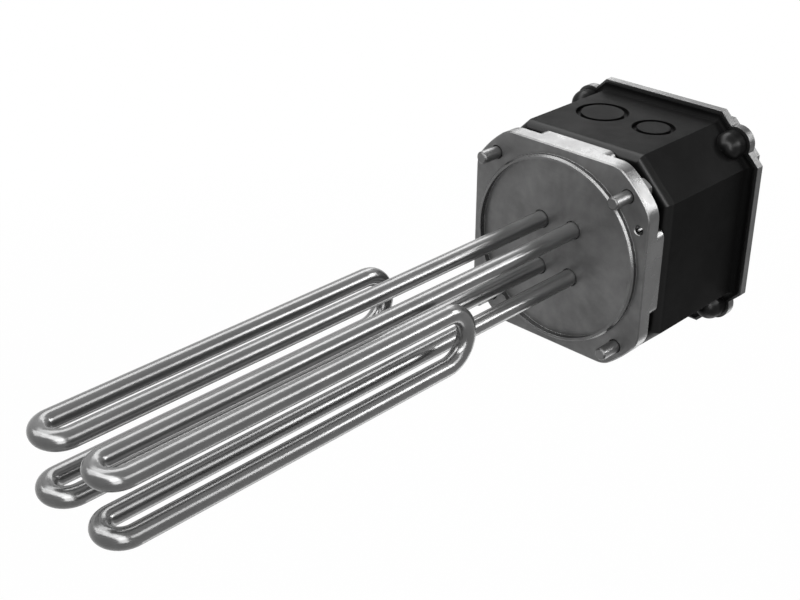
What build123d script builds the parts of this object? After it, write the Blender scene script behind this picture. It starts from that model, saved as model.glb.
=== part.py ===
from build123d import *
import math
import os

# Flanged immersion heater for an engine's water jacket, in millimetres.
# The origin is the centre of the flange's mounting face. -Y runs along the
# heating tubes into the water, +Y runs back through the terminal box to its
# cover, and +Z is up, towards the conduit entries.

# Flange bolts, on a square
bolt_spacing = 100.0
bolt_diameter = 8.0
bolt_length = 25.0
bolt_shank_diameter = 7.2
bolt_head_width = 13.0
bolt_head_height = 5.3
bolt_hole_clearance = 1.0
bolt_tip_break = 1.0

# Flange: a square plate, thick in the middle and thin under the bolt heads
bolt_edge_distance = 16.5
flange_thickness = 17.4
corner_thickness = 10.0
corner_trim = 15.35
corner_blend = 16.0
flange_edge_break = 0.8
pocket_radius = 23.7
pocket_corner_round = 5.8

# Pilot ring standing out of the mounting face, inside the bolts
ring_bolt_gap = 5.7
ring_width = 2.6
ring_height = 3.8
ring_lead_in = 1.2

# Locating hole through one thin corner of the flange
locating_hole_diameter = 5.5
locating_hole_edge_distance = 6.8
locating_hole_drop = 18.5
locating_hole_break = 0.6

# Heating tubes: each element leaves the flange on an upper and a lower leg
tube_diameter = 10.9
immersed_length = 356.0
inner_leg_x = 12.2
leg_height = 16.1
far_bend_radius = 9.87
near_bend_y = 134.3
tube_fit = 0.05
tube_mouth_break = 0.5

# Terminal box: an eight-sided moulded shell with a flared rim
box_overhang = 1.1
box_corner_cut = 24.3
box_length = 84.8
box_wall = 3.6
box_floor = 4.0
box_front_round = 6.0
floor_opening_radius = 32.0
rim_overhang = 4.9
rim_side_gain = 0.7
rim_lip = 0.7
flare_radius = 3.6

# Domed bosses at the box's rear corners, for the cover screws
boss_radius = 9.3
boss_stand_out = 0.5
boss_straight = 5.0

# Conduit knockouts in the top wall
knockout_setback = 47.2
knockout_groove_width = 3.1
knockout_web = 1.2
large_knockout_x = -18.5
large_knockout_radius = 13.8
small_knockout_x = 20.7
small_knockout_radius = 10.4

# Screws that hold the box to the flange, in line with the bolts, and their pads inside the box
box_screw_length = 14.0
pad_radius = 7.0
pad_height = 1.5

# Gaskets
box_gasket_thickness = 0.8
cover_gasket_thickness = 0.8
gasket_inset = 0.9

# Rear cover: a cast lid with screw lobes and a raised middle
cover_overhang = 1.9
cover_side_gain = 0.5
cover_flange_thickness = 6.2
cover_panel_inset = 5.4
cover_panel_side_gain = 4.5
cover_panel_height = 4.3
cover_skin = 3.0
cover_recess_margin = 1.2
cover_edge_break = 0.5
screw_relief_radius = 6.4
cover_screw_length = 15.0

# M5 pan head screws
screw_diameter = 5.0
screw_head_radius = 4.7
screw_head_height = 3.2
screw_head_round = 1.4
screw_slot_width = 1.3
screw_slot_length = 5.6
screw_slot_depth = 1.7
screw_tip = 0.6
screw_hole_fit = 0.05
screw_hole_clearance = 0.4
blind_hole_allowance = 1.5

# Terminals: a threaded pin leaves each sheath through a ceramic bushing
sheath_rise = 12.6
pin_diameter = 4.0
pin_embedded = 8.0
pin_free_end = 5.1
pin_fit = 0.05
bushing_base_radius = 5.2
bushing_base_height = 2.6
bushing_neck_radius = 3.7
bushing_neck_height = 3.9
bushing_fit = 0.1
pin_tip_break = 0.5
nut_width = 7.0
nut_height = 3.2
strap_thickness = 1.2
strap_width = 9.4
strap_hole_clearance = 0.15
washer_radius = 4.5
washer_thickness = 0.8

# Hexagonal heads and nuts: the corners of the rear face are turned off
hex_face_share = 0.95
hex_corner_angle = 30.0

# Earth screw on the flange's dry side, inside the box's floor opening
earth_washer_clearance = 1.4
earth_screw_length = 11.0
earth_washer_radius = 5.6
earth_washer_thickness = 1.0
earth_washer_rise = 0.8

# How near an edge must lie to count as the one asked for
tolerance = 0.001

# Places and sizes that follow from the values above
bolt_offset = bolt_spacing / 2
bolt_radius = bolt_diameter / 2
flange_half = bolt_offset + bolt_edge_distance
corner_radius = flange_half * math.sqrt(2) - corner_trim
ring_outer_radius = bolt_offset * math.sqrt(2) - bolt_radius - ring_bolt_gap
locating_hole_x = flange_half - locating_hole_edge_distance
locating_hole_z = bolt_offset - locating_hole_drop
tube_radius = tube_diameter / 2
screw_radius = screw_diameter / 2
pin_radius = pin_diameter / 2
corner_slope = math.sqrt(2) - 1
far_bend_y = immersed_length - far_bend_radius - tube_radius
outer_leg_x = inner_leg_x + 2 * far_bend_radius
box_front_y = flange_thickness + box_gasket_thickness
box_half = flange_half + box_overhang
box_side = box_half - box_corner_cut
knockout_y = box_front_y + knockout_setback
floor_y = box_front_y + box_floor
pad_y = floor_y + pad_height
rim_y = box_front_y + box_length
rim_half = box_half + rim_overhang
rim_side = box_side + rim_side_gain
inner_half = box_half - box_wall
inner_side = box_side - box_wall * corner_slope
boss_offset = (box_half + box_side) / 2 + boss_stand_out
boss_centre_y = rim_y - boss_straight
cover_half = rim_half + cover_overhang
cover_side = rim_side + cover_side_gain
cover_front_y = rim_y + cover_gasket_thickness
cover_seat_y = cover_front_y + cover_flange_thickness
cover_back_y = cover_seat_y + cover_panel_height
sheath_end_y = flange_thickness + sheath_rise
nut_seat_y = sheath_end_y + bushing_base_height + bushing_neck_height
strap_y = nut_seat_y + nut_height
washer_y = strap_y + strap_thickness
top_nut_y = washer_y + washer_thickness
pin_end_y = top_nut_y + nut_height + pin_free_end
earth_x = floor_opening_radius - earth_washer_radius - earth_washer_clearance
bolt_places = [(x, z) for z in (bolt_offset, -bolt_offset) for x in (-bolt_offset, bolt_offset)]
boss_places = [(x, z) for z in (boss_offset, -boss_offset) for x in (-boss_offset, boss_offset)]
corner_names = ["upper_left", "upper_right", "lower_left", "lower_right"]
terminal_places = [(x, z) for z in (leg_height, -leg_height) for x in (-inner_leg_x, inner_leg_x)]
box_screw_places = {
    "top": (0, bolt_offset),
    "bottom": (0, -bolt_offset),
    "left": (-bolt_offset, 0),
    "right": (bolt_offset, 0),
}


def slab(outline, start_y, end_y):
    """Extrude an outline, drawn with x across and z up, from start_y to end_y."""
    back = Plane(origin=(0, end_y, 0), x_dir=(1, 0, 0), z_dir=(0, -1, 0))
    return extrude(back * outline, end_y - start_y)


def rod(x, z, radius, start_y, end_y):
    """A round bar along Y."""
    return slab(Pos(x, z) * Circle(radius), start_y, end_y)


def octagon(half, side):
    """A square with cut corners: each flat runs from -side to side."""
    points = [(side, half), (half, side), (half, -side), (side, -half)]
    opposite = [(-x, -z) for x, z in points]
    return make_face(Polyline(*points, *opposite, close=True))


def octagon_half(point, side):
    """The half width of the octagon with that side whose outline passes through the point."""
    x = abs(point.X)
    z = abs(point.Z)
    return max(x, z, x + z - side)


def with_lobes(outline, radius):
    """Add a round lobe about each cover screw."""
    for x, z in boss_places:
        outline = outline + Pos(x, z) * Circle(radius)
    return outline


def edges_at(shape, y):
    """The shape's edges that lie in the plane at y."""
    return [edge for edge in shape.edges()
            if max(abs(edge.bounding_box().min.Y - y), abs(edge.bounding_box().max.Y - y)) < tolerance]


def turned(points):
    """Revolve a half profile of (radius, y) points about the Y axis."""
    return revolve(make_face(Polyline(*points, close=True)), Axis.Y, 360)


def flange_plate():
    square = Rectangle(2 * flange_half, 2 * flange_half)
    trimmed = square & Circle(corner_radius)
    outline = fillet(trimmed.vertices(), corner_blend)
    body = slab(outline, 0, corner_thickness)
    body = chamfer(edges_at(body, 0), flange_edge_break)
    middle = trimmed
    for x, z in bolt_places:
        middle -= Pos(x, z) * Circle(pocket_radius)
    body += slab(fillet(middle.vertices(), pocket_corner_round), corner_thickness, flange_thickness)
    ring_inner_radius = ring_outer_radius - ring_width
    body += turned([
        (ring_inner_radius, 0), (ring_inner_radius, -ring_height),
        (ring_outer_radius - ring_lead_in, -ring_height),
        (ring_outer_radius, ring_lead_in - ring_height), (ring_outer_radius, 0),
    ])
    for x, z in bolt_places:
        body -= rod(x, z, bolt_radius + bolt_hole_clearance / 2, 0, corner_thickness)
    mouth = tube_radius + tube_fit + tube_mouth_break
    for x, z in terminal_places:
        body -= rod(x, z, tube_radius + tube_fit, 0, flange_thickness)
        body -= Pos(x, 0, z) * turned([(0, 0), (mouth, 0), (0, mouth)])
    locating_radius = locating_hole_diameter / 2
    locating_mouth = locating_radius + locating_hole_break
    body -= rod(locating_hole_x, locating_hole_z, locating_radius, 0, flange_thickness)
    body -= Pos(locating_hole_x, 0, locating_hole_z) * turned(
        [(0, 0), (locating_mouth, 0), (0, locating_mouth)])
    for x, z in box_screw_places.values():
        depth = box_screw_length + blind_hole_allowance - (pad_y - flange_thickness)
        body -= rod(x, z, screw_radius + screw_hole_fit, flange_thickness - depth, flange_thickness)
    earth_depth = earth_screw_length + blind_hole_allowance - earth_washer_thickness
    body -= rod(earth_x, 0, screw_radius + screw_hole_fit,
                flange_thickness - earth_depth, flange_thickness)
    return body


def heating_element(hand):
    """One sheathed element, bent from a single length; hand is -1 left, 1 right."""
    inner = hand * inner_leg_x
    outer = hand * outer_leg_x
    middle = (inner + outer) / 2
    tip_y = -far_bend_y - far_bend_radius
    route = [
        Line((inner, sheath_end_y, leg_height), (inner, -far_bend_y, leg_height)),
        ThreePointArc((inner, -far_bend_y, leg_height), (middle, tip_y, leg_height),
                      (outer, -far_bend_y, leg_height)),
        Line((outer, -far_bend_y, leg_height), (outer, -near_bend_y, leg_height)),
        ThreePointArc((outer, -near_bend_y, leg_height), (outer, leg_height - near_bend_y, 0),
                      (outer, -near_bend_y, -leg_height)),
        Line((outer, -near_bend_y, -leg_height), (outer, -far_bend_y, -leg_height)),
        ThreePointArc((outer, -far_bend_y, -leg_height), (middle, tip_y, -leg_height),
                      (inner, -far_bend_y, -leg_height)),
        Line((inner, -far_bend_y, -leg_height), (inner, sheath_end_y, -leg_height)),
    ]
    start = Plane(origin=(inner, sheath_end_y, leg_height), z_dir=(0, -1, 0))
    sheath = sweep(start * Circle(tube_radius), path=Wire(route))
    for z in (leg_height, -leg_height):
        sheath -= rod(inner, z, pin_radius + pin_fit, sheath_end_y - pin_embedded, sheath_end_y)
    return sheath


def hexagon(width):
    """A hexagon, width across its flats, with a corner at the top."""
    return RegularPolygon(width / math.sqrt(3), 6, rotation=30)


def chamfered_hex(width, start_y, end_y):
    """A hexagonal head or nut with the corners of its rear face turned off."""
    corner = width / math.sqrt(3)
    face = width / 2 * hex_face_share
    drop = (corner - face) * math.tan(math.radians(hex_corner_angle))
    envelope = turned([(0, start_y), (corner, start_y), (corner, end_y - drop), (face, end_y), (0, end_y)])
    return slab(hexagon(width), start_y, end_y) & envelope


def flange_bolt(x, z):
    """A bolt threaded as far as the mounting face, with a thinner shank inside the flange."""
    tip_y = corner_thickness - bolt_length
    shank_radius = bolt_shank_diameter / 2
    shank = turned([
        (0, tip_y), (bolt_radius - bolt_tip_break, tip_y), (bolt_radius, tip_y + bolt_tip_break),
        (bolt_radius, 0), (shank_radius, 0), (shank_radius, corner_thickness), (0, corner_thickness),
    ])
    head = chamfered_hex(bolt_head_width, corner_thickness, corner_thickness + bolt_head_height)
    return Pos(x, 0, z) * (shank + head)


def pan_screw(x, z, seat_y, length):
    """A cross-recessed pan head screw, its head on the +Y side of seat_y."""
    top_y = seat_y + screw_head_height
    tip_y = seat_y - length
    body = turned([
        (0, tip_y), (screw_radius - screw_tip, tip_y), (screw_radius, tip_y + screw_tip),
        (screw_radius, seat_y), (screw_head_radius, seat_y), (screw_head_radius, top_y), (0, top_y),
    ])
    body = fillet(edges_at(body, top_y), screw_head_round)
    slot = Rectangle(screw_slot_length, screw_slot_width) + Rectangle(screw_slot_width, screw_slot_length)
    body -= slab(slot, top_y - screw_slot_depth, top_y)
    return Pos(x, 0, z) * body


def boss_dome(x, z):
    """The domed boss for one cover screw, half of it standing out of the box."""
    tip_y = boss_centre_y - boss_radius
    slant = boss_radius / math.sqrt(2)
    profile = [
        ThreePointArc((0, tip_y), (slant, boss_centre_y - slant), (boss_radius, boss_centre_y)),
        Polyline((boss_radius, boss_centre_y), (boss_radius, rim_y), (0, rim_y), (0, tip_y)),
    ]
    return Pos(x, 0, z) * revolve(make_face(profile), Axis.Y, 360)


def knockout_groove(x, disc_radius):
    """The ring-shaped groove round one knockout in the top wall."""
    groove = Circle(disc_radius + knockout_groove_width) - Circle(disc_radius)
    bottom_z = box_half - box_wall + knockout_web
    return extrude(Pos(x, knockout_y, bottom_z) * groove, box_wall)


def terminal_box():
    body = slab(octagon(box_half, box_side), box_front_y, rim_y)
    body = fillet(edges_at(body, box_front_y), box_front_round)
    lip_y = rim_y - rim_lip
    body += slab(octagon(rim_half, rim_side), lip_y, rim_y)
    wall_edges = [edge for edge in edges_at(body, lip_y)
                  if octagon_half(edge.center(), box_side) < box_half + rim_overhang / 2]
    body = fillet(wall_edges, flare_radius)
    body -= slab(octagon(inner_half, inner_side), floor_y, rim_y)
    body -= rod(0, 0, floor_opening_radius, box_front_y, floor_y)
    for x, z in boss_places:
        body += boss_dome(x, z)
    for x, z in boss_places:
        depth = cover_screw_length + blind_hole_allowance - (cover_seat_y - rim_y)
        body -= rod(x, z, screw_radius + screw_hole_fit, rim_y - depth, rim_y)
    for x, z in box_screw_places.values():
        body += rod(x, z, pad_radius, floor_y, pad_y)
        body -= rod(x, z, screw_radius + screw_hole_clearance, box_front_y, pad_y)
    body -= knockout_groove(large_knockout_x, large_knockout_radius)
    body -= knockout_groove(small_knockout_x, small_knockout_radius)
    return body


def box_gasket():
    gasket_width = 2 * (flange_half - gasket_inset)
    outline = Rectangle(gasket_width, gasket_width)
    outline &= octagon(box_half - box_front_round, box_side)
    outline -= Circle(floor_opening_radius + gasket_inset)
    for x, z in bolt_places:
        outline -= Pos(x, z) * Circle(pocket_radius + gasket_inset)
    for x, z in box_screw_places.values():
        outline -= Pos(x, z) * Circle(screw_radius + screw_hole_clearance)
    return slab(outline, flange_thickness, box_front_y)


def cover_gasket():
    outline = with_lobes(octagon(rim_half - gasket_inset, rim_side), boss_radius - gasket_inset)
    outline -= octagon(inner_half + gasket_inset / 2, inner_side)
    for x, z in boss_places:
        outline -= Pos(x, z) * Circle(screw_radius + screw_hole_clearance)
    return slab(outline, rim_y, cover_front_y)


def rear_cover():
    outline = with_lobes(octagon(cover_half, cover_side), boss_radius + cover_overhang)
    body = slab(outline, cover_front_y, cover_seat_y)
    body = chamfer(edges_at(body, cover_seat_y), cover_edge_break)
    panel = octagon(cover_half - cover_panel_inset, cover_side + cover_panel_side_gain)
    panel = slab(panel, cover_seat_y, cover_back_y)
    panel = chamfer(edges_at(panel, cover_back_y), cover_edge_break)
    for x, z in boss_places:
        panel -= rod(x, z, screw_relief_radius, cover_seat_y, cover_back_y)
    body += panel
    recess = octagon(inner_half - cover_recess_margin, inner_side)
    body -= slab(recess, cover_front_y, cover_back_y - cover_skin)
    for x, z in boss_places:
        body -= rod(x, z, screw_radius + screw_hole_clearance, cover_front_y, cover_seat_y)
    return body


def terminal_pin(x, z):
    start_y = sheath_end_y - pin_embedded
    profile = [(0, start_y), (pin_radius, start_y), (pin_radius, pin_end_y - pin_tip_break),
               (pin_radius - pin_tip_break, pin_end_y), (0, pin_end_y)]
    return Pos(x, 0, z) * turned(profile)


def bushing(x, z):
    """The ceramic bushing that seals a sheath's end round its pin."""
    bore = pin_radius + bushing_fit
    shoulder_y = sheath_end_y + bushing_base_height
    profile = [(bore, sheath_end_y), (bushing_base_radius, sheath_end_y),
               (bushing_base_radius, shoulder_y), (bushing_neck_radius, shoulder_y),
               (bushing_neck_radius, nut_seat_y), (bore, nut_seat_y)]
    return Pos(x, 0, z) * turned(profile)


def nut(x, z, seat_y):
    body = chamfered_hex(nut_width, seat_y, seat_y + nut_height)
    return Pos(x, 0, z) * (body - rod(0, 0, pin_radius + pin_fit, seat_y, seat_y + nut_height))


def jumper_strap(z):
    """The flat link that joins the two elements' pins at one height."""
    link = SlotCenterToCenter(2 * inner_leg_x, strap_width)
    for x in (-inner_leg_x, inner_leg_x):
        link -= Pos(x, 0) * Circle(pin_radius + strap_hole_clearance)
    return Pos(0, 0, z) * slab(link, strap_y, washer_y)


def washer(x, z):
    ring = Circle(washer_radius) - Circle(pin_radius + strap_hole_clearance)
    return slab(Pos(x, z) * ring, washer_y, top_nut_y)


def earth_washer():
    """A cupped washer that keeps the earth wire under its screw."""
    bore = screw_radius + screw_hole_clearance
    top_y = flange_thickness + earth_washer_thickness
    lip = earth_washer_thickness
    profile = [(bore, flange_thickness), (earth_washer_radius, flange_thickness),
               (earth_washer_radius, top_y + earth_washer_rise),
               (earth_washer_radius - lip / 2, top_y + earth_washer_rise),
               (earth_washer_radius - lip / 2, top_y), (bore, top_y)]
    return Pos(earth_x, 0, 0) * turned(profile)


def group(solids):
    """Several identical pieces kept together as separate solids."""
    return Compound(children=list(solids))


parts = {
    "flange_plate": flange_plate(),
    "heating_element_left": heating_element(-1),
    "heating_element_right": heating_element(1),
    "terminal_box": terminal_box(),
    "box_gasket": box_gasket(),
    "cover_gasket": cover_gasket(),
    "rear_cover": rear_cover(),
    "jumper_strap_upper": jumper_strap(leg_height),
    "jumper_strap_lower": jumper_strap(-leg_height),
    "lower_nuts": group(nut(x, z, nut_seat_y) for x, z in terminal_places),
    "upper_nuts": group(nut(x, z, top_nut_y) for x, z in terminal_places),
    "strap_washers": group(washer(x, z) for x, z in terminal_places),
    "earth_screw": pan_screw(earth_x, 0, flange_thickness + earth_washer_thickness, earth_screw_length),
    "earth_washer": earth_washer(),
}
for name, (x, z) in zip(corner_names, terminal_places):
    parts["terminal_pin_" + name] = terminal_pin(x, z)
    parts["ceramic_bushing_" + name] = bushing(x, z)
for name, (x, z) in zip(corner_names, bolt_places):
    parts["flange_bolt_" + name] = flange_bolt(x, z)
for name, (x, z) in zip(corner_names, boss_places):
    parts["cover_screw_" + name] = pan_screw(x, z, cover_seat_y, cover_screw_length)
for name, (x, z) in box_screw_places.items():
    parts["box_screw_" + name] = pan_screw(x, z, pad_y, box_screw_length)

os.makedirs("parts", exist_ok=True)
for name, shape in parts.items():
    export_step(shape, "parts/" + name + ".step")
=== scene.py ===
import bpy
import math
from mathutils import Matrix, Vector


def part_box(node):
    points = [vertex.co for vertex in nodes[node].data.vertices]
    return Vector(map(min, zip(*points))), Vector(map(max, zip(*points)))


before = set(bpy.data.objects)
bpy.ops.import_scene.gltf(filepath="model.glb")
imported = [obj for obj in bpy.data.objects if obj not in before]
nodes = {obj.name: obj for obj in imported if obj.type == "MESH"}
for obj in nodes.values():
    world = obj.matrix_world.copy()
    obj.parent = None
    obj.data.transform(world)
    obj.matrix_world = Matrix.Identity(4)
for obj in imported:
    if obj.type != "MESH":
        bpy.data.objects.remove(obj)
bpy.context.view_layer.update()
scene = bpy.context.scene
scene.view_settings.view_transform = "Standard"
corners = ["upper_left", "upper_right", "lower_left", "lower_right"]
# Lengths are in metres. The heating tubes run along -Y from the flange's face at y = 0
tube_direction = (0, 1, 0)
white = (1, 1, 1, 1)


# Camera: turned, dropped and rolled by degrees, with a lens and sensor in millimetres

camera_place = (0.45236, -0.60023, 0.35814)
camera_turn = 44.363
camera_drop = 27.918
camera_roll = 0.170
camera_lens = 59.80
camera_sensor = 36.0
camera_reach = (0.01, 100.0)


def make_camera():
    data = bpy.data.cameras.new("camera")
    data.lens = camera_lens
    data.sensor_width = camera_sensor
    data.clip_start, data.clip_end = camera_reach
    camera = bpy.data.objects.new("camera", data)
    scene.collection.objects.link(camera)
    turn = Matrix.Rotation(math.radians(camera_turn), 4, "Z")
    tilt = Matrix.Rotation(math.radians(90 - camera_drop), 4, "X")
    roll = Matrix.Rotation(math.radians(camera_roll), 4, "Z")
    camera.matrix_world = Matrix.Translation(camera_place) @ turn @ tilt @ roll
    scene.camera = camera


# Studio: strip lamps round the tubes, a pale floor and a white room

floor_level = -0.75
floor_size = 40.0
floor_colour = (0.92, 0.92, 0.92, 1)
# Straight below the object the floor glows a little less, so that its shadow shows there
floor_glow_near = 0.95
floor_glow_radius = 0.55
floor_glow_full = 4 * floor_glow_radius
room_light = 0.35
# Each lamp is a strip parallel to the tubes. Its angle goes round them from the right, its
# distance is from their axis, and its span is a range of y
thin_lamp = {"angle": 29.0, "distance": 1.0, "width": 0.36, "span": (0.4, 1.4), "radiance": 13.0}
side_lamp = {"angle": 29.0, "distance": 1.0, "width": 0.36, "span": (-0.42, 0.4), "radiance": 5.0}
wide_lamp = {"angle": 122.0, "distance": 1.2, "width": 0.60, "span": (-0.8, 1.4), "radiance": 5.0}
low_lamp = {"angle": -80.0, "distance": 0.6, "width": 0.25, "span": (-0.1, 1.0), "radiance": 1.8}
# The rear lamps stand over the box, where the flange's rim reflects them: (angle, radiance)
rear_lamp = {"distance": 1.0, "width": 0.32, "span": (0.88, 1.36)}
rear_lamps = [(50, 15.0), (98, 1.5), (147, 3.6)]
# The front lamps form an arch over the camera, which edges and bends reflect: (angle, radiance)
front_lamp = {"distance": 1.0, "width": 0.56, "span": (-1.35, -0.65)}
front_lamps = [(8, 7.0), (40, 12.0), (72, 9.0), (104, 7.0), (136, 5.0)]
# An area lamp of this many watts per square metre shows as a strength of 1
watts_for_one = 4.0


def strip_lamp(name, angle, distance, width, span, radiance, gloss_only=True):
    """A lamp parallel to the tubes, facing the Y axis, that spans a range of y."""
    data = bpy.data.lights.new(name, "AREA")
    data.shape = "RECTANGLE"
    data.size = width
    data.size_y = span[1] - span[0]
    data.energy = radiance * watts_for_one * width * data.size_y
    lamp = bpy.data.objects.new(name, data)
    scene.collection.objects.link(lamp)
    out = Vector((math.cos(math.radians(angle)), 0, math.sin(math.radians(angle))))
    along = Vector(tube_direction)
    across = along.cross(out)
    turn = Matrix((across, along, out)).transposed().to_4x4()
    middle = along * (span[0] + span[1]) / 2
    lamp.matrix_world = Matrix.Translation(out * distance + middle) @ turn
    lamp.visible_camera = False
    lamp.visible_diffuse = not gloss_only


def make_lamps():
    """One wide lamp lights the object, and the others show only in its gloss."""
    strip_lamp("thin lamp", **thin_lamp)
    strip_lamp("side lamp", **side_lamp)
    strip_lamp("wide lamp", gloss_only=False, **wide_lamp)
    strip_lamp("low lamp", **low_lamp)
    for angle, radiance in rear_lamps:
        strip_lamp(f"rear lamp {angle}", angle, radiance=radiance, **rear_lamp)
    for angle, radiance in front_lamps:
        strip_lamp(f"front lamp {angle}", angle, radiance=radiance, **front_lamp)


def seen_directly(tree):
    """1 for rays from the camera, off gloss and through glass, else 0."""
    rays = tree.nodes.new("ShaderNodeLightPath").outputs
    either = maths(tree, "MAXIMUM", rays["Is Camera Ray"], rays["Is Glossy Ray"])
    return maths(tree, "MAXIMUM", either, rays["Is Transmission Ray"])


def mix_shaders(tree, share, first, second, output_kind):
    """Lead the mix of two shaders to the output of a material or world."""
    mix = tree.nodes.new("ShaderNodeMixShader")
    out = tree.nodes.new(output_kind)
    tree.links.new(share, mix.inputs[0])
    tree.links.new(first.outputs[0], mix.inputs[1])
    tree.links.new(second.outputs[0], mix.inputs[2])
    tree.links.new(mix.outputs[0], out.inputs[0])


def make_room():
    """A world that gives a plain light and is seen as white."""
    world = bpy.data.worlds.new("white room")
    scene.world = world
    world.use_nodes = True
    tree = world.node_tree
    tree.nodes.clear()
    light = tree.nodes.new("ShaderNodeBackground")
    light.inputs["Color"].default_value = white
    light.inputs["Strength"].default_value = room_light
    backdrop = tree.nodes.new("ShaderNodeBackground")
    backdrop.inputs["Color"].default_value = white
    mix_shaders(tree, seen_directly(tree), light, backdrop, "ShaderNodeOutputWorld")
    world.cycles.sampling_method = "NONE"


def make_floor():
    """A wide pale floor that is seen as white, with the object's faint shadow on it."""
    half = floor_size / 2
    mesh = bpy.data.meshes.new("floor")
    outline = [(-half, -half), (half, -half), (half, half), (-half, half)]
    mesh.from_pydata([(x, y, floor_level) for x, y in outline], [], [(0, 1, 2, 3)])
    floor = bpy.data.objects.new("floor", mesh)
    scene.collection.objects.link(floor)
    material = bpy.data.materials.new("pale floor")
    material.use_nodes = True
    tree = material.node_tree
    tree.nodes.clear()
    paint = tree.nodes.new("ShaderNodeBsdfDiffuse")
    paint.inputs["Color"].default_value = floor_colour
    glow = tree.nodes.new("ShaderNodeEmission")
    glow.inputs["Color"].default_value = white
    away = vector_maths(tree, "LENGTH", place_on_object(tree))
    share = remap(tree, away, floor_glow_radius, floor_glow_full, floor_glow_near, 1.0)
    mix_shaders(tree, times(tree, share, seen_directly(tree)), paint, glow,
                "ShaderNodeOutputMaterial")
    material.cycles.emission_sampling = "NONE"
    mesh.materials.append(material)


# Small helpers for node trees

def feed(tree, socket, value):
    """Link a socket, or set a constant on it."""
    if isinstance(value, bpy.types.NodeSocket):
        tree.links.new(value, socket)
    else:
        socket.default_value = value


def maths(tree, operation, *values):
    node = tree.nodes.new("ShaderNodeMath")
    node.operation = operation
    for socket, value in zip(node.inputs, values):
        feed(tree, socket, value)
    return node.outputs[0]


def times(tree, first, second):
    return maths(tree, "MULTIPLY", first, second)


def vector_maths(tree, operation, *values):
    node = tree.nodes.new("ShaderNodeVectorMath")
    node.operation = operation
    for socket, value in zip(node.inputs, values):
        feed(tree, socket, value)
    return node.outputs["Value" if operation in ("LENGTH", "DOT_PRODUCT") else "Vector"]


def remap(tree, value, low, high, to_low, to_high):
    """Carry a value from one range to another, and hold it inside the second."""
    node = tree.nodes.new("ShaderNodeMapRange")
    for socket, number in zip(node.inputs, (value, low, high, to_low, to_high)):
        feed(tree, socket, number)
    return node.outputs[0]


def mask(tree, value, none_at, full_at):
    """0 at one value, 1 at the other, and a straight slope between them."""
    return remap(tree, value, none_at, full_at, 0.0, 1.0)


def noise(tree, place, scale, detail, roughness):
    node = tree.nodes.new("ShaderNodeTexNoise")
    feed(tree, node.inputs["Vector"], place)
    feed(tree, node.inputs["Scale"], scale)
    feed(tree, node.inputs["Detail"], detail)
    feed(tree, node.inputs["Roughness"], roughness)
    return node.outputs[0]


def blend_colours(tree, share, first, second):
    node = tree.nodes.new("ShaderNodeMix")
    node.data_type = "RGBA"
    sockets = {socket.identifier: socket for socket in node.inputs}
    feed(tree, sockets["Factor_Float"], share)
    feed(tree, sockets["A_Color"], first)
    feed(tree, sockets["B_Color"], second)
    return next(socket for socket in node.outputs if socket.identifier == "Result_Color")


def place_on_object(tree):
    return tree.nodes.new("ShaderNodeTexCoord").outputs["Object"]


def split(tree, vector):
    """The three parts of a vector."""
    node = tree.nodes.new("ShaderNodeSeparateXYZ")
    feed(tree, node.inputs[0], vector)
    return node.outputs


def facing_along(tree):
    """How far the surface faces along the tubes: 1 for a flange face, 0 for a rim or side."""
    facing = tree.nodes.new("ShaderNodeTexCoord").outputs["Normal"]
    return maths(tree, "ABSOLUTE", vector_maths(tree, "DOT_PRODUCT", facing, tube_direction))


# Shared effects, as node groups with named inputs

def new_group(name, inputs, outputs):
    """A node group with value inputs, and outputs that are values or vectors."""
    tree = bpy.data.node_groups.new(name, "ShaderNodeTree")
    kinds = {"value": "NodeSocketFloat", "vector": "NodeSocketVector"}
    for label in inputs:
        tree.interface.new_socket(label, in_out="INPUT", socket_type=kinds["value"])
    for label, kind in outputs.items():
        tree.interface.new_socket(label, in_out="OUTPUT", socket_type=kinds[kind])
    given = tree.nodes.new("NodeGroupInput").outputs
    wanted = tree.nodes.new("NodeGroupOutput").inputs
    return tree, given, wanted


def make_edge_wear():
    """Rounds every edge a little in the shading, and masks it where metal or plastic is rubbed."""
    tree, given, wanted = new_group(
        "edge wear", ["Radius", "Break Up"], {"Mask": "value", "Normal": "vector"})
    bevel = tree.nodes.new("ShaderNodeBevel")
    bevel.samples = 6
    feed(tree, bevel.inputs["Radius"], given["Radius"])
    flat = tree.nodes.new("ShaderNodeNewGeometry").outputs["Normal"]
    likeness = vector_maths(tree, "DOT_PRODUCT", bevel.outputs[0], flat)
    edge = mask(tree, likeness, none_at=0.995, full_at=0.80)
    patches = noise(tree, place_on_object(tree), given["Break Up"], detail=4.0, roughness=0.65)
    patches = remap(tree, patches, 0.35, 0.65, 0.25, 1.0)
    feed(tree, wanted["Mask"], times(tree, edge, patches))
    feed(tree, wanted["Normal"], bevel.outputs[0])
    return tree


def make_cloudy():
    """Soft mottling, as on steel that has been wiped and handled."""
    fine_times, broad_share, fine_share = 4.3, 0.7, 0.3
    tree, given, wanted = new_group("cloudy", ["Scale"], {"Cloud": "value"})
    place = place_on_object(tree)
    broad = noise(tree, place, given["Scale"], detail=3.0, roughness=0.55)
    fine_scale = times(tree, given["Scale"], fine_times)
    fine = noise(tree, place, fine_scale, detail=4.0, roughness=0.6)
    both = maths(tree, "MULTIPLY_ADD", broad, broad_share, times(tree, fine, fine_share))
    feed(tree, wanted["Cloud"], mask(tree, both, none_at=0.38, full_at=0.62))
    return tree


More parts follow.
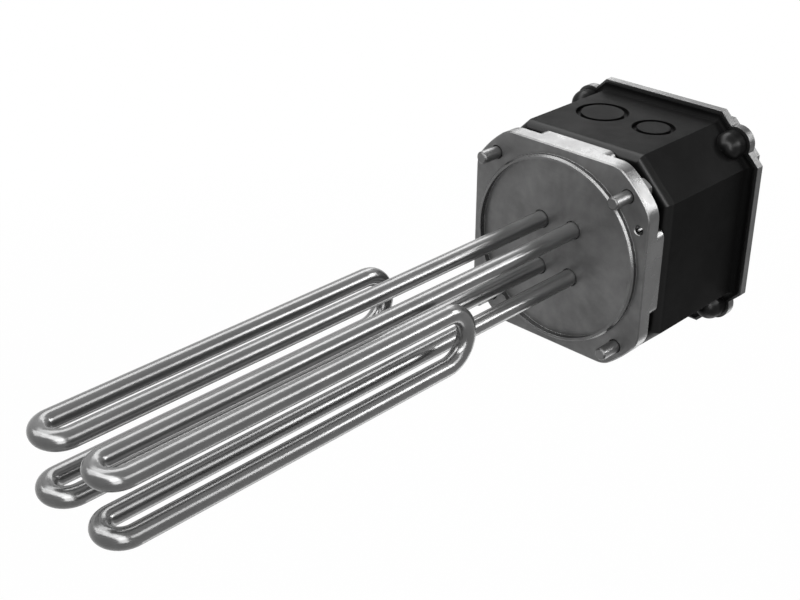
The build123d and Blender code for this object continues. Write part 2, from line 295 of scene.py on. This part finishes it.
def make_grain():
    """A fine pebbled skin: moulding texture, cast skin or sandblast."""
    pit_scale = 0.55
    tree, given, wanted = new_group("grain", ["Scale", "Pits"], {"Height": "value"})
    place = place_on_object(tree)
    bumps = noise(tree, place, given["Scale"], detail=3.0, roughness=0.6)
    spots = tree.nodes.new("ShaderNodeTexVoronoi")
    feed(tree, spots.inputs["Vector"], place)
    feed(tree, spots.inputs["Scale"], times(tree, given["Scale"], pit_scale))
    pits = mask(tree, spots.outputs["Distance"], none_at=0.0, full_at=0.35)
    feed(tree, wanted["Height"], maths(tree, "ADD", bumps, times(tree, pits, given["Pits"])))
    return tree


def make_turning():
    """Fine rings round the Y axis, as a lathe leaves them on a faced disc."""
    tree, given, wanted = new_group("turning marks", ["Rings Per Metre"], {"Height": "value"})
    flat = vector_maths(tree, "MULTIPLY", place_on_object(tree), (1, 0, 1))
    radius = vector_maths(tree, "LENGTH", flat)
    rings = tree.nodes.new("ShaderNodeTexNoise")
    rings.noise_dimensions = "1D"
    feed(tree, rings.inputs["W"], times(tree, radius, given["Rings Per Metre"]))
    feed(tree, rings.inputs["Scale"], 1.0)
    feed(tree, rings.inputs["Detail"], 3.0)
    feed(tree, wanted["Height"], rings.outputs[0])
    return tree


def make_drawn_lines():
    """Long fine scratches along the Y axis, as drawing and polishing leave them on tube."""
    tree, given, wanted = new_group("drawn lines", ["Across", "Along"], {"Height": "value"})
    spread = tree.nodes.new("ShaderNodeCombineXYZ")
    for socket, label in zip(spread.inputs, ("Across", "Along", "Across")):
        feed(tree, socket, given[label])
    place = vector_maths(tree, "MULTIPLY", place_on_object(tree), spread.outputs[0])
    feed(tree, wanted["Height"], noise(tree, place, 1.0, detail=3.0, roughness=0.6))
    return tree


def make_thread():
    """Rolled screw thread along the Y axis, up to the place where it ends."""
    tree, given, wanted = new_group("thread", ["Turns Per Metre", "End"], {"Height": "value"})
    across, along, up = split(tree, place_on_object(tree))
    flanks = times(tree, times(tree, along, given["Turns Per Metre"]), 2.0)
    ridges = maths(tree, "PINGPONG", flanks, 1.0)
    before_end = maths(tree, "LESS_THAN", along, given["End"])
    feed(tree, wanted["Height"], times(tree, ridges, before_end))
    return tree


def make_slant():
    """Masks rounds and chamfers, which face neither along the Y axis nor square to it."""
    tree, given, wanted = new_group("slant", ["Begins", "Full"], {"Mask": "value"})
    along = facing_along(tree)
    off_side = mask(tree, along, given["Begins"], given["Full"])
    off_face = mask(tree, along, none_at=0.995, full_at=0.93)
    feed(tree, wanted["Mask"], times(tree, off_side, off_face))
    return tree


effects = {
    "edge wear": make_edge_wear(),
    "cloudy": make_cloudy(),
    "grain": make_grain(),
    "turning marks": make_turning(),
    "drawn lines": make_drawn_lines(),
    "thread": make_thread(),
    "slant": make_slant(),
}


# Materials

slant_edges = {"Begins": 0.05, "Full": 0.35}
# The depth of a drawn thread, as a share of its pitch, and the pitch of each kind
thread_share = 0.065
bolt_pitch = 0.00125
screw_pitch = 0.0008
pin_pitch = 0.0007
# The flange bolts are threaded up to the mounting face, and the pins all the way
bolt_thread_end = 0.0
pin_thread_end = 1.0
screw_head_height = 0.0032
# How far a fastener's chamfers are darkened with painted shade, which holds down the lamps' glints
# on them
painted_chamfer_shade = 0.8
# Where the box has smooth rounds: the end of its front round, and the domes at its corners
box_front_round_end = 0.0245
dome_centre = 0.0559
dome_radius = 0.0094
dome_start = 0.080
round_border = 0.0010
dome_border = 0.0004
smooth_coat = 0.20
smooth_coat_roughness = 0.28


class Finish:
    """One material: a principled shader with helpers for its colour, roughness and relief."""

    def __init__(self, name):
        self.material = bpy.data.materials.new(name)
        self.material.use_nodes = True
        self.tree = self.material.node_tree
        self.shader = self.tree.nodes["Principled BSDF"]
        self.normal = None

    def set(self, label, value):
        """Link one of the shader's sockets, or set a constant on it."""
        feed(self.tree, self.shader.inputs[label], value)

    def place_effect(self, name, inputs):
        node = self.tree.nodes.new("ShaderNodeGroup")
        node.node_tree = effects[name]
        for label, value in inputs.items():
            feed(self.tree, node.inputs[label], value)
        return node.outputs

    def soften_edges(self, radius, break_up=300.0):
        """Rounded edges in the shading. Gives the mask of worn edges."""
        outputs = self.place_effect("edge wear", {"Radius": radius, "Break Up": break_up})
        self.normal = outputs["Normal"]
        return outputs["Mask"]

    def cloudy(self, scale):
        return self.place_effect("cloudy", {"Scale": scale})["Cloud"]

    def grain(self, scale, pits):
        return self.place_effect("grain", {"Scale": scale, "Pits": pits})["Height"]

    def drawn_lines(self, across, along):
        return self.place_effect("drawn lines", {"Across": across, "Along": along})["Height"]

    def slant(self):
        return self.place_effect("slant", slant_edges)["Mask"]

    def relief(self, height, depth):
        """Add one layer of bump over what is there."""
        bump = self.tree.nodes.new("ShaderNodeBump")
        bump.inputs["Distance"].default_value = depth
        feed(self.tree, bump.inputs["Height"], height)
        if self.normal is not None:
            feed(self.tree, bump.inputs["Normal"], self.normal)
        self.normal = bump.outputs[0]

    def times(self, first, second):
        return times(self.tree, first, second)

    def vary(self, share, at_none, at_full):
        """A number that goes from one value to another as a mask goes from 0 to 1."""
        return remap(self.tree, share, 0.0, 1.0, at_none, at_full)

    def blend(self, share, first, second):
        return blend_colours(self.tree, share, first, second)

    def done(self, colour, roughness, metallic):
        self.set("Base Color", colour)
        self.set("Roughness", roughness)
        self.set("Metallic", metallic)
        self.set("Normal", self.normal)
        return self.material


def grey(level, warmth=0.0):
    return (level * (1 + warmth), level, level * (1 - warmth), 1)


def flange_finish():
    """Satin steel: faces turned on a lathe, rim left with a fine cast skin."""
    f = Finish("satin flange steel")
    worn = f.soften_edges(radius=0.0004)
    cloud = f.cloudy(scale=38.0)
    face = mask(f.tree, facing_along(f.tree), none_at=0.70, full_at=0.95)
    skin = f.grain(scale=1500.0, pits=0.3)
    f.relief(f.times(skin, f.vary(face, 1.0, 0.25)), depth=0.00006)
    rings = f.place_effect("turning marks", {"Rings Per Metre": 2600.0})["Height"]
    f.relief(f.times(rings, face), depth=0.000012)
    faced = f.blend(cloud, grey(0.096), grey(0.148))
    rim = f.blend(cloud, grey(0.070), grey(0.100))
    colour = f.blend(face, rim, faced)
    colour = f.blend(f.times(worn, 0.5), colour, grey(0.26))
    smoother_rim = f.vary(face, 0.09, 0.0)
    brighter_rim = f.vary(face, 0.35, 0.0)
    roughness = maths(f.tree, "SUBTRACT", f.vary(cloud, 0.41, 0.33), smoother_rim)
    metallic = maths(f.tree, "ADD", f.vary(cloud, 0.38, 0.52), brighter_rim)
    return f.done(colour, roughness, metallic)


def sheath_finish():
    """Bright drawn tube, polished along its length."""
    f = Finish("drawn sheath steel")
    cloud = f.cloudy(scale=60.0)
    lines = f.drawn_lines(across=1100.0, along=10.0)
    f.relief(lines, depth=0.000005)
    f.relief(f.grain(scale=900.0, pits=0.2), depth=0.000003)
    colour = f.blend(cloud, grey(0.125), grey(0.145))
    streaks = mask(f.tree, lines, none_at=0.3, full_at=0.7)
    return f.done(colour, f.vary(streaks, 0.17, 0.24), f.vary(cloud, 0.25, 0.35))


def fastener_finish(name, level, warmth=0.0, edge=0.0002, wear=1.0, pitch=None, thread_end=0.0):
    """Plated steel or brass for bolts, screws, pins, nuts and washers, threaded up to a y, with
    painted shade on the chamfers.
    """
    duller, paler, rubbed, painted_shade_level = 0.88, 1.1, 1.6, 0.25
    f = Finish(name)
    worn = f.times(f.soften_edges(edge, break_up=700.0), wear)
    cloud = f.cloudy(scale=160.0)
    f.relief(f.grain(scale=1600.0, pits=0.1), depth=0.000004)
    if pitch:
        thread = f.place_effect("thread", {"Turns Per Metre": 1 / pitch, "End": thread_end})
        f.relief(thread["Height"], depth=pitch * thread_share)
    colour = f.blend(cloud, grey(level * duller, warmth), grey(level * paler, warmth))
    colour = f.blend(worn, colour, grey(level * rubbed, warmth))
    # Painted shade: the chamfers' colour is darkened to hold down the lamps' glints on them
    chamfers = f.times(f.slant(), painted_chamfer_shade)
    colour = f.blend(chamfers, colour, grey(level * painted_shade_level, warmth))
    return f.done(colour, f.vary(cloud, 0.38, 0.30), f.vary(cloud, 0.60, 0.75))


def smooth_rounds(f):
    """Masks the box's front round and its four domes, which have a smoother skin than the flats."""
    place = place_on_object(f.tree)
    across, along, up = split(f.tree, place)
    front = mask(f.tree, along, box_front_round_end, box_front_round_end - round_border)
    quarter = vector_maths(f.tree, "ABSOLUTE", place)
    from_dome = vector_maths(f.tree, "SUBTRACT", quarter, (dome_centre, 0, dome_centre))
    from_dome = vector_maths(f.tree, "MULTIPLY", from_dome, (1, 0, 1))
    away = vector_maths(f.tree, "LENGTH", from_dome)
    dome = mask(f.tree, away, dome_radius, dome_radius - dome_border)
    dome = f.times(dome, mask(f.tree, along, dome_start - round_border, dome_start))
    return f.times(maths(f.tree, "MAXIMUM", front, dome), f.slant())


def moulding_finish():
    """Black moulded plastic with a fine matt texture."""
    f = Finish("black moulding")
    worn = f.soften_edges(radius=0.0006)
    cloud = f.cloudy(scale=30.0)
    f.relief(f.grain(scale=1800.0, pits=0.15), depth=0.00004)
    colour = f.blend(cloud, grey(0.006), grey(0.008))
    colour = f.blend(f.times(worn, 0.35), colour, grey(0.025))
    f.set("Specular IOR Level", 0.011)
    f.set("Coat Roughness", smooth_coat_roughness)
    f.set("Coat Weight", f.times(smooth_rounds(f), smooth_coat))
    return f.done(colour, f.vary(cloud, 0.50, 0.42), 0.0)


def rubber_finish():
    """Dull black gasket rubber with a fine bloom."""
    f = Finish("gasket rubber")
    cloud = f.cloudy(scale=220.0)
    f.relief(f.grain(scale=3200.0, pits=0.4), depth=0.00003)
    colour = f.blend(cloud, grey(0.010), grey(0.016))
    f.set("Specular IOR Level", 0.2)
    return f.done(colour, f.vary(cloud, 0.85, 0.7), 0.0)


def cover_finish():
    """Die-cast aluminium with a lightly blasted skin."""
    f = Finish("cast cover aluminium")
    worn = f.soften_edges(radius=0.0005)
    cloud = f.cloudy(scale=55.0)
    f.relief(f.grain(scale=1300.0, pits=0.5), depth=0.00003)
    colour = f.blend(cloud, grey(0.046), grey(0.064))
    colour = f.blend(worn, colour, grey(0.12))
    f.set("Specular IOR Level", 0.15)
    return f.done(colour, f.vary(cloud, 0.38, 0.30), f.vary(cloud, 0.72, 0.82))


def strap_finish():
    """Rolled brass strip for the jumper straps."""
    f = Finish("rolled brass")
    worn = f.soften_edges(radius=0.0002, break_up=700.0)
    cloud = f.cloudy(scale=180.0)
    f.relief(f.drawn_lines(across=2400.0, along=2400.0), depth=0.000008)
    colour = f.blend(cloud, (0.46, 0.33, 0.13, 1), (0.58, 0.43, 0.19, 1))
    colour = f.blend(worn, colour, (0.75, 0.60, 0.32, 1))
    return f.done(colour, f.vary(cloud, 0.34, 0.24), 1.0)


def ceramic_finish():
    """Unglazed off-white ceramic with a dusty surface."""
    f = Finish("bushing ceramic")
    cloud = f.cloudy(scale=240.0)
    f.relief(f.grain(scale=3000.0, pits=0.3), depth=0.00003)
    colour = f.blend(cloud, (0.70, 0.68, 0.62, 1), (0.80, 0.78, 0.73, 1))
    return f.done(colour, f.vary(cloud, 0.62, 0.5), 0.0)


# The pieces and what each is made of

def at_corners(piece):
    return [piece + "_" + corner for corner in corners]


def dress(material, *names):
    """Give CAD nodes this material."""
    for name in names:
        mesh = nodes[name].data
        mesh.materials.clear()
        mesh.materials.append(material)


screws = {
    "cover screw steel": at_corners("cover_screw"),
    "box screw steel": ["box_screw_" + side for side in ("top", "bottom", "left", "right")],
    "earth screw steel": ["earth_screw"],
}


def dress_pieces():
    dress(flange_finish(), "flange_plate")
    dress(sheath_finish(), "heating_element_left", "heating_element_right")
    bolt_steel = fastener_finish("bolt steel", level=0.13, edge=0.0001, wear=0.2,
                                 pitch=bolt_pitch, thread_end=bolt_thread_end)
    dress(bolt_steel, *at_corners("flange_bolt"))
    for name, pieces in screws.items():
        lowest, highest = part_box(pieces[0])
        under_head = highest[1] - screw_head_height
        screw_steel = fastener_finish(name, level=0.32, pitch=screw_pitch, thread_end=under_head)
        dress(screw_steel, *pieces)
    dress(fastener_finish("washer steel", level=0.32), "earth_washer")
    pin_steel = fastener_finish("pin steel", level=0.38, pitch=pin_pitch,
                                thread_end=pin_thread_end)
    dress(pin_steel, *at_corners("terminal_pin"))
    nut_brass = fastener_finish("plated nut brass", level=0.45, warmth=0.06)
    dress(nut_brass, "lower_nuts", "upper_nuts", "strap_washers")
    dress(strap_finish(), "jumper_strap_upper", "jumper_strap_lower")
    dress(ceramic_finish(), *at_corners("ceramic_bushing"))
    dress(moulding_finish(), "terminal_box")
    dress(rubber_finish(), "box_gasket", "cover_gasket")
    dress(cover_finish(), "rear_cover")


dress_pieces()
make_camera()
make_room()
make_floor()
make_lamps()
